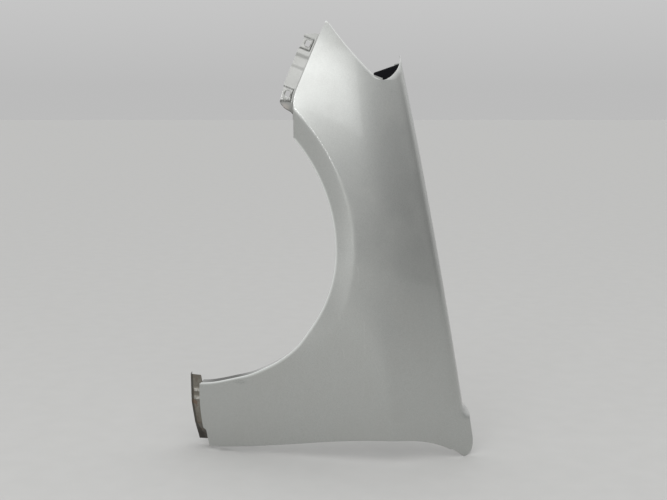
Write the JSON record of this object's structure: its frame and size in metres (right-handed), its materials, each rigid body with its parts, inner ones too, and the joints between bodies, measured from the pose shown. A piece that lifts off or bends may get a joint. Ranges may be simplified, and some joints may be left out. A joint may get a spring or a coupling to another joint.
{
  "type": "car fender",
  "caption": "Left front car fender: a stamped sheet-steel wing with wheel arch, rolled shoulder, bonnet channel, bumper flange and sill plate.",
  "frame": {"origin": "centre of the bounding box's bottom face, under the panel as it stands on its door edge", "axes": "+Z is the car's forward direction, from the door edge to the headlight tip; +X is up on the car, from the sill to the bonnet; +Y is inboard, so the outer face looks along -Y"},
  "size_m": [0.75, 0.2236, 1.131],
  "materials": {
    "silver_paint": "metallic silver paint under clear coat, lightly worn at the flanges",
    "primed_steel": "brown-grey primer, matt, with surface rust",
    "black_foam": "matt black closed-cell foam"
  },
  "bodies": {
    "root": {"fender_panel": "silver_paint", "sill_plate": "primed_steel", "channel_foam": "black_foam"}
  },
  "joints": []
}
